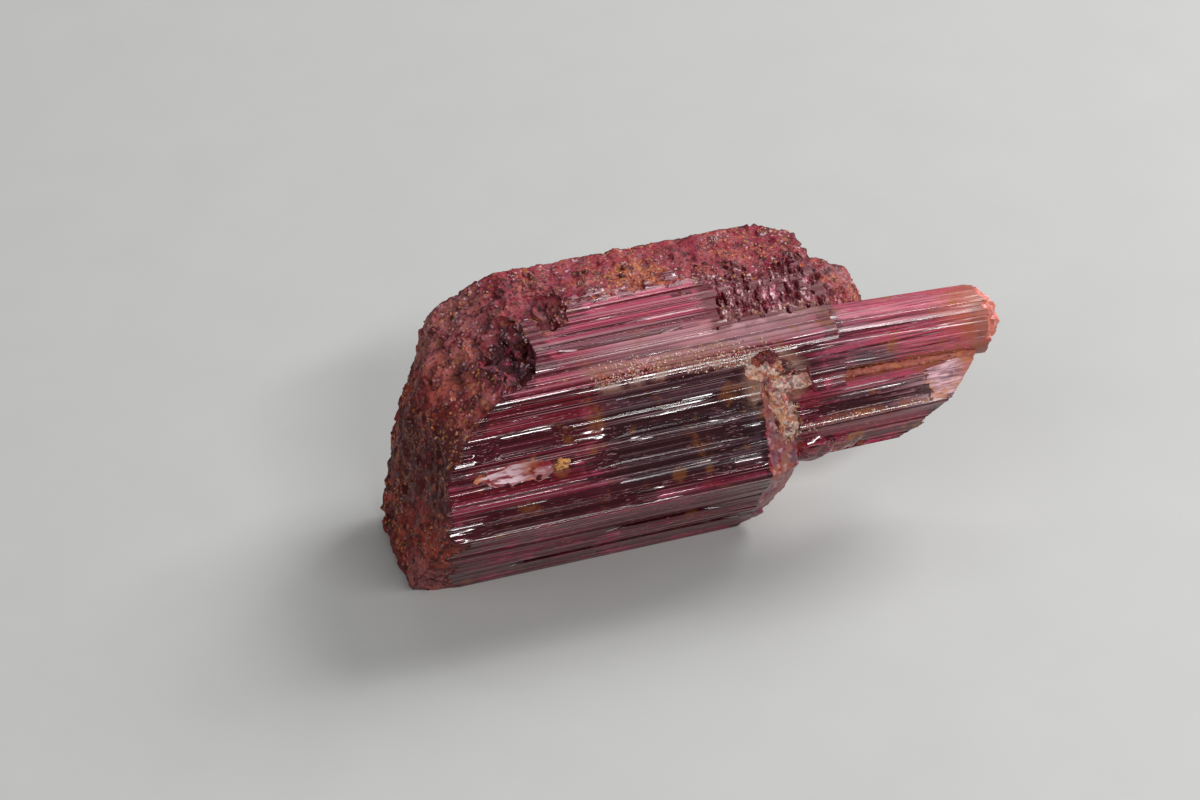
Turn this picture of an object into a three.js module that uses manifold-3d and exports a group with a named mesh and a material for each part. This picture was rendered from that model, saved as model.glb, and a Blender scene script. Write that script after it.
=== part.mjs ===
// Tourmaline crystal, lying on one of its prism faces.
// A thick six-sided prism, ridged along its length, is broken off rough at its left end. At its
// right end it carries on as two slimmer prisms, grown side by side from its front half.
// Millimetres. +X runs along the prisms, +Y towards the back, +Z up.
import * as THREE from 'three';
import { mergeVertices } from 'three/addons/utils/BufferGeometryUtils.js';
import Module from 'manifold-3d';

const wasm = await Module();
wasm.setup();

// Corners of each prism across its length, as [Y, Z], from the front edge of the resting face
const BODY_CORNERS = [
  [0, 0], [-4.1, 7.2], [-1.2, 12.4], [0.6, 15.6], [7.3, 16.8],
  [11.4, 17.0], [13.4, 10.0], [10.2, 2.7], [7.0, 0],
];
const LOWER_TWIN_CORNERS = [
  [-1.4, 5.9], [-2.5, 9.6], [-1.4, 11.55], [0.6, 12.3], [2.8, 10.6], [1.8, 7.0],
];
const UPPER_TWIN_MIDDLE = [1.8, 12.8];
const UPPER_TWIN_RADIUS = 2.5;
const UPPER_TWIN_SIDES = 9;

// The upper twin's corners lie at this share of its radius or more, up to the spread
const TWIN_LEAST = 0.95;
const TWIN_SPREAD = 0.1;

// Stations along the length, from the foot of the broken left end
const BODY_END = 30;
const LOWER_HALF_END = 25.9;
const RESTING_FACE_END = 22.8;
const TWINS_START = 16;
const UPPER_TWIN_END = 41.5;
const LOWER_TWIN_END = 39.5;
const OVERRUN = 3;

// The step at the right end: below this height the body stops short
const STEP_HEIGHT = 11.6;

// A low ledge behind the upper twin, seen from above as [X, Y]
const LEDGE_PLAN = [[28.4, 1.5], [34.4, 4.2], [32.8, 7.2], [30.6, 10.6], [28.4, 10.6]];
const LEDGE_BOTTOM = 8.6;
const LEDGE_TOP = 14.8;

// Lengthwise ridges: narrow strips of each face, set back by an uneven amount
const STRIP_WIDTH = 0.85;
const STRIP_DEPTH = 0.22;
const STRIP_SLOPE = 0.08;

// Broken faces: blocks with one uneven face bite pieces off the prisms
const BLOCK_SIZE = 44;
const BLOCK_CELLS = 26;
const BREAK_DEPTH = 0.3;
const KEYS_PER_MM = 7;
const KEY_ROW_SHIFT = 0.37;

// Vertices closer than this are one
const MERGE_WITHIN = 1e-4;

// A wave so fast and tall that its fractions look like chance
const WAVE_RATE = 12.9898;
const WAVE_HEIGHT = 43758.5453;

// An uneven number from 0 to 1 for each whole or fractional key
function uneven(key) {
  const wave = Math.sin(key * WAVE_RATE) * WAVE_HEIGHT;
  return wave - Math.floor(wave);
}

// A closed solid from a mesh geometry, and back
function solidOf(geometry) {
  const bare = geometry.clone();
  bare.deleteAttribute('normal');
  bare.deleteAttribute('uv');
  const merged = mergeVertices(bare, MERGE_WITHIN);
  const vertProperties = new Float32Array(merged.attributes.position.array);
  const triVerts = new Uint32Array(merged.index.array);
  return new wasm.Manifold(new wasm.Mesh({ numProp: 3, vertProperties, triVerts }));
}

function geometryOf(solid) {
  const mesh = solid.getMesh();
  const geometry = new THREE.BufferGeometry();
  geometry.setAttribute('position', new THREE.BufferAttribute(mesh.vertProperties, 3));
  geometry.setIndex(new THREE.BufferAttribute(mesh.triVerts, 1));
  geometry.computeVertexNormals();
  return geometry;
}

// The outline of a prism with its faces cut into ridged strips. Corners run clockwise seen from -X,
// so the inside of each face lies to its right. A face that lies on the floor stays flat.
function ridgedOutline(corners, key) {
  const points = [];
  corners.forEach((corner, index) => {
    const start = new THREE.Vector2(...corner);
    const end = new THREE.Vector2(...corners[(index + 1) % corners.length]);
    const along = end.clone().sub(start);
    const inward = new THREE.Vector2(along.y, -along.x).normalize();
    const flat = start.y === 0 && end.y === 0;
    const strips = flat ? 1 : Math.max(2, Math.round(along.length() / STRIP_WIDTH));
    for (let strip = 0; strip < strips; strip += 1) {
      const touchesFloor = (strip === 0 && start.y === 0) || (strip === strips - 1 && end.y === 0);
      const setBack = flat || touchesFloor ? 0 : STRIP_DEPTH * uneven(key + index * 31 + strip);
      for (const edge of [strip + STRIP_SLOPE, strip + 1 - STRIP_SLOPE]) {
        points.push(start.clone().addScaledVector(along, edge / strips).addScaledVector(inward, setBack));
      }
    }
    if (end.y === 0) {
      points.push(end);
    }
  });
  return points;
}

// A prism along +X between two stations
function prism(points, from, to) {
  const shape = new THREE.Shape(points);
  const geometry = new THREE.ExtrudeGeometry(shape, { depth: to - from, bevelEnabled: false });
  const turn = new THREE.Matrix4().makeBasis(
    new THREE.Vector3(0, 1, 0), new THREE.Vector3(0, 0, 1), new THREE.Vector3(1, 0, 0),
  );
  geometry.applyMatrix4(turn);
  geometry.translate(from, 0, 0);
  return solidOf(geometry);
}

// A block that bites away everything behind a point, with an uneven face towards the inside
function breakAt(point, inside, key) {
  const geometry = new THREE.BoxGeometry(
    BLOCK_SIZE, BLOCK_SIZE, BLOCK_SIZE, 1, BLOCK_CELLS, BLOCK_CELLS,
  );
  const position = geometry.attributes.position;
  for (let i = 0; i < position.count; i += 1) {
    if (position.getX(i) > 0) {
      const row = Math.round(position.getZ(i) * KEYS_PER_MM);
      const cell = Math.round(position.getY(i) * KEYS_PER_MM) + row * KEY_ROW_SHIFT;
      position.setX(i, position.getX(i) + BREAK_DEPTH * (uneven(cell + key) - 1));
    }
  }
  const inward = new THREE.Vector3(...inside).normalize();
  const place = new THREE.Matrix4().makeRotationFromQuaternion(
    new THREE.Quaternion().setFromUnitVectors(new THREE.Vector3(1, 0, 0), inward),
  );
  geometry.translate(-BLOCK_SIZE / 2, 0, 0);
  geometry.applyMatrix4(place);
  geometry.translate(...point);
  return solidOf(geometry);
}

function bite(solid, breaks) {
  return breaks.reduce((left, { point, inside, key }) => left.subtract(breakAt(point, inside, key)), solid);
}

// The thick prism, with its broken left end, the bevels above it and the step at its right end
function bodySolid() {
  const whole = bite(prism(ridgedOutline(BODY_CORNERS, 1), -OVERRUN, BODY_END + OVERRUN), [
    { point: [0, 0, 0], inside: [1, -0.04, -0.21], key: 3 },
    { point: [4.6, 6, 13.4], inside: [1, 0, -1.45], key: 5 },
    { point: [4.5, 13.4, 10], inside: [1, -0.4, -0.3], key: 7 },
    { point: [17, 6, 16.7], inside: [-0.035, 0, -1], key: 9 },
    { point: [BODY_END, 0, 15], inside: [-1, 0.05, -0.06], key: 11 },
    { point: [29.3, 10.2, 15], inside: [-0.6, -0.8, 0], key: 12 },
  ]);
  const below = new THREE.BoxGeometry(BLOCK_SIZE * 2, BLOCK_SIZE, BLOCK_SIZE);
  below.translate(0, 0, STEP_HEIGHT - BLOCK_SIZE / 2);
  const worn = [
    { point: [LOWER_HALF_END, 0, STEP_HEIGHT / 2], inside: [-1, 0, 0], key: 13 },
    { point: [RESTING_FACE_END, 0, 0], inside: [-1, 0, 1.46], key: 15 },
    { point: [24.7, 5, 1.25], inside: [-1, 0, 0.33], key: 16 },
    { point: [23.5, -3.1, 9], inside: [-0.342, 0.821, -0.458], key: 21 },
    { point: [23.4, -3, 5.3], inside: [-0.342, 0.817, 0.465], key: 22 },
  ];
  return bite(whole.intersect(solidOf(below)), worn).add(whole.subtract(solidOf(below)));
}

// The rough ledge between the body's top and the upper twin
function ledgeSolid() {
  const shape = new THREE.Shape(LEDGE_PLAN.map((corner) => new THREE.Vector2(...corner)));
  const geometry = new THREE.ExtrudeGeometry(shape, { depth: LEDGE_TOP - LEDGE_BOTTOM, bevelEnabled: false });
  geometry.translate(0, 0, LEDGE_BOTTOM);
  return bite(solidOf(geometry), [{ point: [30.5, 6, LEDGE_TOP], inside: [-0.35, 0, -1], key: 17 }]);
}

// The upper twin: nearly round, with a blunt bevelled tip
function upperTwinSolid() {
  const corners = [];
  for (let side = 0; side < UPPER_TWIN_SIDES; side += 1) {
    const angle = -(side / UPPER_TWIN_SIDES) * Math.PI * 2;
    const radius = UPPER_TWIN_RADIUS * (TWIN_LEAST + TWIN_SPREAD * uneven(side + 2));
    corners.push([
      UPPER_TWIN_MIDDLE[0] + radius * Math.cos(angle), UPPER_TWIN_MIDDLE[1] + radius * Math.sin(angle),
    ]);
  }
  return bite(prism(ridgedOutline(corners, 40), TWINS_START, UPPER_TWIN_END), [
    { point: [40.2, 2, 15.2], inside: [-1, -0.1, -0.9], key: 19 },
    { point: [40, 1.5, 10.5], inside: [-1, 0.1, 0.9], key: 23 },
    { point: [40.1, -0.6, 12.8], inside: [-1, 0.9, 0], key: 25 },
    { point: [40.3, 4.2, 12.8], inside: [-1, -0.9, 0], key: 27 },
  ]);
}

// The lower twin: shorter, with its end cut off on a slant
function lowerTwinSolid() {
  return bite(prism(ridgedOutline(LOWER_TWIN_CORNERS, 60), TWINS_START, LOWER_TWIN_END), [
    { point: [39.6, 0, 11.7], inside: [-1, 0.15, 0.95], key: 29 },
    { point: [36.6, 0, 7.3], inside: [-0.5, 0, 0.87], key: 31 },
  ]);
}

function crystalGeometry() {
  const joined = bodySolid().add(ledgeSolid()).add(upperTwinSolid()).add(lowerTwinSolid());
  const geometry = geometryOf(joined);
  geometry.computeBoundingBox();
  const middle = geometry.boundingBox.getCenter(new THREE.Vector3());
  geometry.translate(-middle.x, -middle.y, -geometry.boundingBox.min.z);
  return geometry;
}

const tourmaline = new THREE.MeshStandardMaterial({ color: 0x7a2440, roughness: 0.25, metalness: 0 });
const crystal = new THREE.Mesh(crystalGeometry(), tourmaline);
crystal.name = 'tourmaline_crystal';

const part = new THREE.Group();
part.add(crystal);

export default part;
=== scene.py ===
# Tourmaline crystal on a pale floor: a thick striated prism, broken and crusted at its left end, with
# two slimmer prisms growing out of its right end. Metres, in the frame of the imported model.
import math

import bmesh
import bpy
from mathutils import Matrix, Vector


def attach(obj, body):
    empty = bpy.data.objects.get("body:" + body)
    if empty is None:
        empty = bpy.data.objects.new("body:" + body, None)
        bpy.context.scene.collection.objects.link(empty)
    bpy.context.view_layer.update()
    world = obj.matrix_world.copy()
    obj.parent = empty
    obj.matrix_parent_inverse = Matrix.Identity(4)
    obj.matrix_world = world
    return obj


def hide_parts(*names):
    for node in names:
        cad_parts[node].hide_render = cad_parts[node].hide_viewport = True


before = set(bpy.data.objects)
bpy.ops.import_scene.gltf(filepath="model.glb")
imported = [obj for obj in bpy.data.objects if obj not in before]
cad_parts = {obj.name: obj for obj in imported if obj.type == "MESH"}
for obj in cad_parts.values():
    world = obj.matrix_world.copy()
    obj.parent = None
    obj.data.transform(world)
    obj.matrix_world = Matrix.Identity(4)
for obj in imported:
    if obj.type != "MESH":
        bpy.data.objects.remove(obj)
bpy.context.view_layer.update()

MM = 0.001

# The front left corner of the resting face. Every place below is measured from it in millimetres,
# as (station along the prisms, distance back, height).
NODE = "tourmaline_crystal"
RESTING_CORNERS = [v.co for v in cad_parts[NODE].data.vertices if v.co.z < 0.01 * MM]
FOOT = min(RESTING_CORNERS, key=lambda co: co.x + co.y).copy()

# Outlines across the prisms, as (distance back, height)
BODY_CORNERS = [
    (0, 0), (-4.1, 7.2), (-1.2, 12.4), (0.2, 14.93), (1.7, 15.82), (7.3, 16.8),
    (11.4, 17.0), (13.4, 10.0), (10.2, 2.7), (7.0, 0),
]
LOWER_TWIN_CORNERS = [(-1.4, 5.9), (-2.5, 9.6), (-1.4, 11.55), (0.6, 12.3), (2.8, 10.6), (1.8, 7.0)]
UPPER_TWIN_MIDDLE = (1.8, 12.9)
UPPER_TWIN_RADIUS = 2.5
UPPER_TWIN_SIDES = 13

# Where the prisms start and end before they are broken off
BODY_RUN = (-1.5, 32.0)
UPPER_TWIN_RUN = (20.0, 41.9)
LOWER_TWIN_RUN = (20.0, 39.2)

# Faces of the body that carry sunken bands, each from its lower to its upper edge
LOWER_FRONT = (BODY_CORNERS[0], BODY_CORNERS[1])
FRONT = (BODY_CORNERS[1], BODY_CORNERS[3])
TOP = (BODY_CORNERS[4], BODY_CORNERS[5])
LOWER_TWIN_FRONT = (LOWER_TWIN_CORNERS[1], LOWER_TWIN_CORNERS[2])

# A band whose floor leans this far back, in degrees, mirrors the front light
GLINT = 15

# Sunken bands: face, stations, distance up the face from and to, depth, lean of the floor in degrees
BANDS = [
    (FRONT, 3.4, 11.9, 5.1, 6.4, 0.45, -7),
    (FRONT, 12.4, 23.7, 4.85, 5.8, 0.5, -8),
    (FRONT, 11.2, 23.3, 3.1, 4.3, 0.35, -6),
    (FRONT, 10.2, 22.8, 2.3, 2.75, 0.22, 5),
    (FRONT, 2.6, 22.4, 1.1, 1.65, 0.3, -6),
    (FRONT, 2.2, 16.0, 0.2, 1.0, 0.3, -4),
    (FRONT, 14.2, 23.8, 7.1, 7.35, 0.2, 0),
    (FRONT, 15.5, 22.6, 7.8, 8.0, 0.16, 0),
    (FRONT, 3.5, 11.8, 6.42, 6.49, 0.26, GLINT),
    (FRONT, 4.2, 10.9, 6.62, 6.68, 0.26, GLINT),
    (FRONT, 16.0, 23.0, 6.42, 6.50, 0.26, GLINT),
    (FRONT, 12.0, 23.0, 2.86, 2.96, 0.26, GLINT),
    (FRONT, 15.2, 21.4, 5.85, 5.99, 0.26, GLINT),
    (FRONT, 14.6, 22.0, 6.12, 6.24, 0.26, GLINT),
    (FRONT, 13.8, 23.2, 4.40, 4.52, 0.26, GLINT),
    (FRONT, 12.8, 22.4, 4.63, 4.74, 0.26, GLINT),
    (FRONT, 11.0, 22.6, 1.78, 1.98, 0.22, GLINT),
    (FRONT, 12.4, 22.2, 2.08, 2.20, 0.22, GLINT),
    (FRONT, 2.9, 10.6, 1.74, 1.80, 0.26, GLINT),
    (LOWER_FRONT, 5.0, 24.0, 1.7, 2.3, 0.3, 5),
    (LOWER_FRONT, 11.5, 22.0, 4.6, 5.3, 0.3, 6),
    (LOWER_FRONT, 13.0, 22.8, 5.5, 5.65, 0.15, 55),
    (LOWER_FRONT, 10.5, 16.5, 0.5, 0.7, 0.15, 55),
    (TOP, 10.4, 20.5, 0.9, 1.3, 0.34, 4),
    (TOP, 10.0, 18.0, 2.3, 2.6, 0.34, -4),
]
LOWER_TWIN_BANDS = [
    (LOWER_TWIN_FRONT, 27.0, 36.0, 1.5, 1.65, 0.24, GLINT),
    (LOWER_TWIN_FRONT, 26.5, 37.0, 0.5, 1.2, 0.28, -6),
    (LOWER_TWIN_FRONT, 27.5, 35.0, 1.95, 2.05, 0.22, GLINT),
]

# Lengthwise ridges of the prisms, as width, depth and length
RIDGES = {"broad": (1.3, 0.15, 40.0), "narrow": (0.26, 0.10, 26.0), "fine": (0.11, 0.014, 16.0)}

# The length over which a band runs out to the face at either end
BAND_TAPER = 2.5

# Rusty spots on the front, as a place and a radius
RUSTY_SPOTS = [((9.6, -2.3, 10.4), 0.7), ((17.5, -3.3, 8.6), 0.7), ((19.6, -3.4, 8.5), 0.5)]

# Hollows in the top face, darkened with painted shade, as a place and radii
HOLLOWS = [((7.9, 3.7, 16.2), (1.8, 3.4, 1.9)), ((11.5, 6.4, 16.6), (1.3, 2.0, 1.0))]

# How much painted shade darkens the two hollows and the rusty hole, from 0 to 1
HOLLOW_SHADES = (0.9, 0.55, 0.85)

# The notch between the body and the twins is hollowed out and lined with pale matrix, as places and radii
MATRIX_HOLLOWS = [
    ((24.3, -0.6, 13.8), (1.5, 0.6, 0.9)), ((25.0, -1.1, 12.6), (1.3, 0.6, 1.2)),
    ((25.6, -2.2, 10.4), (0.9, 0.8, 1.9)),
]
MATRIX_LUMPS = [
    ((24.7, -0.1, 12.9), (1.0, 0.5, 0.7)), ((25.3, -0.6, 12.0), (1.1, 0.6, 0.9)),
    ((25.1, -1.2, 10.8), (0.9, 0.6, 1.1)), ((25.5, -1.6, 9.6), (0.8, 0.7, 1.1)),
    ((27.0, -0.3, 12.0), (1.8, 0.6, 0.6)), ((26.2, 0.1, 12.9), (1.3, 0.5, 0.7)),
]
RUSTY_HOLE = ((24.4, -0.4, 14.2), (1.0, 0.9, 0.7))

# A rusty seam fills the crease between the twins, as its two ends, the number of lumps and their radii
SEAM_ENDS = ((26.8, -0.36, 11.75), (38.4, -0.76, 11.6))
SEAM_LUMPS = 10
SEAM_RADII = (1.0, 0.26, 0.26)

# Lines that loose sand gathers along, as two ends and a reach: the upper edge of the front, the notch, the
# crease between the twins and the front edge of the lower twin
SAND_LINES = [
    (((14.5, 0.6, 15.2), (24.4, 0.1, 14.7)), 1.1),
    (((24.2, -0.2, 14.0), (25.6, -1.8, 9.4)), 1.3),
    (((26.8, -0.4, 11.8), (38.4, -0.8, 11.6)), 0.35),
    (((26.8, -2.4, 9.6), (35.5, -2.4, 9.6)), 0.3),
]

# A golden nugget at the end of the chip
NUGGET = ((9.7, -1.95, 10.5), (0.7, 0.4, 0.4))

# Rounded nodules under the lower twin
NODULES = [((27.5, -1.1, 7.1), (2.0, 1.2, 1.3)), ((29.5, -1.0, 7.1), (2.0, 1.0, 1.0))]

# The upper twin leans a little down and to the front, in degrees, about a place inside the body
LEAN_PLACE = (29.5, 1.8, 12.9)
LEAN_DOWN = 2
LEAN_FRONT = 2


# Node trees, with sums on sockets written as sums
class Field:
    """The value of a socket. Each sum with it adds a math node to the socket's tree."""

    def __init__(self, socket):
        self.socket = socket
        self.tree = socket.id_data

    def work(self, operation, *others):
        kind = "ShaderNodeVectorMath" if self.socket.type == "VECTOR" else "ShaderNodeMath"
        node = put(self.tree, kind, operation=operation)
        for socket, value in zip(node.inputs, (self, *others)):
            feed(socket, value)
        return Field(next(output for output in node.outputs if output.enabled))

    def __add__(self, other):
        return self.work("ADD", other)

    def __sub__(self, other):
        return self.work("SUBTRACT", other)

    def __mul__(self, other):
        return self.work("MULTIPLY", other)

    def __truediv__(self, other):
        return self.work("DIVIDE", other)

    def __rsub__(self, other):
        return field(self.tree, "ShaderNodeMath", {0: other, 1: self}, operation="SUBTRACT")

    def scaled(self, factor):
        return field(self.tree, "ShaderNodeVectorMath", {0: self, "Scale": factor}, operation="SCALE")

    def parts(self):
        return [Field(output) for output in put(self.tree, "ShaderNodeSeparateXYZ", {0: self}).outputs]

    def ramp(self, low, high):
        inputs = {"Value": self, "From Min": low, "From Max": high}
        return field(self.tree, "ShaderNodeMapRange", inputs, interpolation_type="SMOOTHSTEP")

    def between(self, low, high, soft):
        return self.ramp(low - soft, low + soft) * (1.0 - self.ramp(high - soft, high + soft))

    def noise(self, size, detail=2.0, roughness=0.5):
        scale = size.work("POWER", -1.0) if isinstance(size, Field) else 1.0 / size
        inputs = {"Vector": self, "Scale": scale, "Detail": detail, "Roughness": roughness}
        return field(self.tree, "ShaderNodeTexNoise", inputs)


def feed(socket, value):
    if isinstance(value, Field):
        socket.id_data.links.new(value.socket, socket)
    else:
        socket.default_value = value


def pick(sockets, key):
    if isinstance(key, int):
        return sockets[key]
    return next((socket for socket in sockets if socket.identifier == key), None) or sockets[key]


def put(tree, kind, inputs=None, **settings):
    node = tree.nodes.new(kind)
    for name, value in settings.items():
        setattr(node, name, value)
    for key, value in (inputs or {}).items():
        feed(pick(node.inputs, key), value)
    return node


def field(tree, kind, inputs=None, output=0, **settings):
    return Field(pick(put(tree, kind, inputs, **settings).outputs, output))


def triple(x, y, z):
    tree = next(part for part in (x, y, z) if isinstance(part, Field)).tree
    return field(tree, "ShaderNodeCombineXYZ", {"X": x, "Y": y, "Z": z})


def white_noise(x, y, z):
    spot = triple(x, y, z)
    return field(spot.tree, "ShaderNodeTexWhiteNoise", {"Vector": spot})


def capture(geometry, **values):
    """Keeps values with the points as they are now, before later nodes move them"""
    node = put(geometry.tree, "GeometryNodeCaptureAttribute", {"Geometry": geometry})
    for name, value in values.items():
        node.capture_items.new("VECTOR" if value.socket.type == "VECTOR" else "FLOAT", name)
        feed(node.inputs[name], value)
    return Field(node.outputs["Geometry"]), *(Field(node.outputs[name]) for name in values)


def new_group(name, kind, inputs, outputs):
    tree = bpy.data.node_groups.new(name, kind)
    for direction, sockets in (("INPUT", inputs), ("OUTPUT", outputs)):
        for label, socket in sockets:
            tree.interface.new_socket(label, in_out=direction, socket_type=f"NodeSocket{socket}")
    given = put(tree, "NodeGroupInput").outputs
    return tree, {label: Field(given[label]) for label, _ in inputs}, put(tree, "NodeGroupOutput").inputs


# Objects that a tree shapes and that then become plain meshes
def mesh_object(name, points=(), edges=(), faces=()):
    mesh = bpy.data.meshes.new(name)
    mesh.from_pydata([Vector(point) * MM for point in points], edges, faces)
    ob = bpy.data.objects.new(name, mesh)
    bpy.context.scene.collection.objects.link(ob)
    return ob


def plain(ob):
    depsgraph = bpy.context.evaluated_depsgraph_get()
    mesh = bpy.data.meshes.new_from_object(ob.evaluated_get(depsgraph))
    ob.modifiers.clear()
    ob.data = mesh
    return ob


def shape(ob, tree, **sizes):
    modifier = ob.modifiers.new(tree.name, "NODES")
    modifier.node_group = tree
    for item in tree.interface.items_tree:
        key = item.name.lower().replace(" ", "_")
        if item.in_out == "INPUT" and key in sizes:
            modifier[item.identifier] = sizes[key]
    return plain(ob)


def facing(inside):
    """The turn that points a block's +X face along a direction, its Z kept as upright as it can be"""
    x = Vector(inside).normalized()
    up = Vector((0, 0, 1)) if abs(x.z) < 0.9 else Vector((1, 0, 0))
    z = (up - up.dot(x) * x).normalized()
    return Matrix((x, z.cross(x), z)).transposed().to_euler()


# Trees that shape the stone
def finish_tree(tree, geometry, relief, surface, result):
    """Keeps how high each point stands, from 0 in a hollow to 1 on top, and sets the surface"""
    kept = field(tree, "GeometryNodeStoreNamedAttribute", {
        "Geometry": geometry, "Name": "relief", "Value": relief.work("MAXIMUM", 0.0).work("MINIMUM", 1.0),
    }, data_type="FLOAT", domain="POINT")
    real = field(tree, "GeometryNodeRealizeInstances", {"Geometry": kept})
    feed(result, field(tree, "GeometryNodeSetMaterial", {"Geometry": real, "Material": surface}))


def ridge_layer_tree():
    """Strips of uneven width along the prism, cut into lengths that each have their own height and lean"""
    tree, given, made = new_group(
        "ridge_layer", "GeometryNodeTree",
        [("Across", "Float"), ("Along", "Float"), ("Width", "Float"), ("Run", "Float"), ("Seed", "Float")],
        [("Height", "Float")],
    )
    across = given["Across"] / given["Width"]
    sway = field(tree, "ShaderNodeTexNoise", {
        "W": across + given["Seed"] * 13.7, "Scale": 0.35, "Detail": 1.0,
    }, noise_dimensions="1D")
    swayed = across + sway * 3.2
    strip = swayed.work("FLOOR")
    run = (given["Along"] / given["Run"] + white_noise(strip, given["Seed"], 0.0) * 19.0).work("FLOOR")
    level = white_noise(strip, run, given["Seed"])
    lean = white_noise(strip, run, given["Seed"] + 0.5) * 2.0 - 1.0
    feed(made["Height"], level * 0.3 + (swayed - strip - 0.5) * lean * 0.7 + 0.35)
    return tree


def striated_prism_tree(ridge_layer):
    """A closed prism along +X from an outline, with three widths of lengthwise ridges"""
    layers = ("Broad", "Narrow", "Fine")
    layer_inputs = [(f"{layer} {size}", "Float") for layer in layers for size in ("Width", "Depth", "Run")]
    tree, given, made = new_group(
        "striated_prism", "GeometryNodeTree",
        [("Outline", "Geometry"), ("Start", "Float"), ("End", "Float"), ("Columns", "Int"), ("Rows", "Int"),
         *layer_inputs, ("Seed", "Float"), ("Surface", "Material")],
        [("Prism", "Geometry")],
    )
    position = field(tree, "GeometryNodeInputPosition")
    outline = field(tree, "GeometryNodeResampleCurve", {
        "Curve": field(tree, "GeometryNodeMeshToCurve", {"Mesh": given["Outline"]}),
        "Count": given["Columns"],
    })
    distance = field(tree, "GeometryNodeSplineParameter", output="Length")
    section, across, corner = capture(outline, Across=distance, Corner=position)
    line = field(tree, "GeometryNodeCurvePrimitiveLine", {
        "Start": triple(given["Start"], 0.0, 0.0), "End": triple(given["End"], 0.0, 0.0),
    })
    rows = field(tree, "GeometryNodeResampleCurve", {"Curve": line, "Count": given["Rows"]})
    stations, along = capture(rows, Along=position.parts()[0])
    swept = field(tree, "GeometryNodeCurveToMesh", {
        "Curve": stations, "Profile Curve": section, "Fill Caps": True,
    })
    back, height, _ = corner.parts()
    placed = field(tree, "GeometryNodeSetPosition", {
        "Geometry": swept, "Position": triple(along, back, height),
    })
    broad, narrow, fine = (
        field(tree, "GeometryNodeGroup", {
            "Across": across, "Along": along, "Width": given[f"{layer} Width"], "Run": given[f"{layer} Run"],
            "Seed": given["Seed"] + number * 7.0,
        }, node_tree=ridge_layer) * given[f"{layer} Depth"]
        for number, layer in enumerate(layers)
    )
    sunk = broad + narrow + fine
    # The ridges fade out just above the resting face, which stays flat
    sunk = sunk * height.ramp(0.0, 0.6 * MM)
    normal = field(tree, "GeometryNodeInputNormal")
    ridged = field(tree, "GeometryNodeSetPosition", {"Geometry": placed, "Offset": normal.scaled(sunk)})
    outwards = field(tree, "GeometryNodeFlipFaces", {"Mesh": ridged})
    relief = 1.0 - sunk / (given["Broad Depth"] + given["Narrow Depth"] + given["Fine Depth"])
    finish_tree(tree, outwards, relief, given["Surface"], made["Prism"])
    return tree


def chips(spot, size, slope):
    """Angular chips: each cell of a broken face leans its own way"""
    cells = put(spot.tree, "ShaderNodeTexVoronoi", {"Vector": spot, "Scale": size.work("POWER", -1.0)})
    lean = field(spot.tree, "ShaderNodeVectorMath", {
        0: Field(cells.outputs["Color"]), 1: (0.5, 0.5, 0.5),
    }, operation="SUBTRACT")
    return (spot - Field(cells.outputs["Position"])).work("DOT_PRODUCT", lean) * slope


def seeded(position, seed):
    return position + triple(seed, seed, seed)


def biting_block(name, inputs, bite_of):
    """A tree for a block whose +X face is uneven and bites that shape out of the stone"""
    tree, given, made = new_group(
        name, "GeometryNodeTree",
        [("Empty", "Geometry"), ("Size", "Float"), ("Cells", "Int"), ("Lift", "Float"), ("Seed", "Float"),
         ("Place", "Vector"), ("Turn", "Rotation"), ("Surface", "Material"),
         *((label, "Float") for label in inputs)],
        [("Block", "Geometry")],
    )
    size = given["Size"]
    cube = field(tree, "GeometryNodeMeshCube", {
        "Size": triple(size, size, size),
        "Vertices X": 2, "Vertices Y": given["Cells"], "Vertices Z": given["Cells"],
    })
    moved = field(tree, "GeometryNodeTransform", {
        "Geometry": cube, "Translation": triple(size * -0.5, 0.0, given["Lift"]),
    })
    position = field(tree, "GeometryNodeInputPosition")
    bite, relief = bite_of(given, position, seeded(position, given["Seed"]))
    block, bite, relief = capture(moved, Bite=bite, Relief=relief)
    rough = field(tree, "GeometryNodeSetPosition", {
        "Geometry": block, "Selection": position.parts()[0].work("GREATER_THAN", -0.5 * MM),
        "Offset": triple(bite, 0.0, 0.0),
    })
    placed = field(tree, "GeometryNodeTransform", {
        "Geometry": rough, "Translation": given["Place"], "Rotation": given["Turn"],
    })
    finish_tree(tree, placed, relief, given["Surface"], made["Block"])
    return tree


def broken_bite(given, _, spot):
    """Lumps, angular chips of two sizes and grit"""
    bite = (spot.noise(given["Lump Size"], 3.0) - 0.5) * given["Lump Depth"]
    bite = bite + chips(spot, given["Chip Size"], given["Chip Slope"])
    bite = bite + chips(spot, given["Chip Size"] * 0.35, given["Chip Slope"])
    bite = bite + (spot.noise(given["Chip Size"] * 0.3, 4.0) - 0.5) * given["Grit Depth"]
    return bite, 0.5 - bite / (given["Lump Depth"] + given["Chip Size"] * 0.4)


def broken_block_tree():
    sizes = ("Lump Size", "Lump Depth", "Chip Size", "Chip Slope", "Grit Depth")
    return biting_block("broken_block", sizes, broken_bite)


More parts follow.
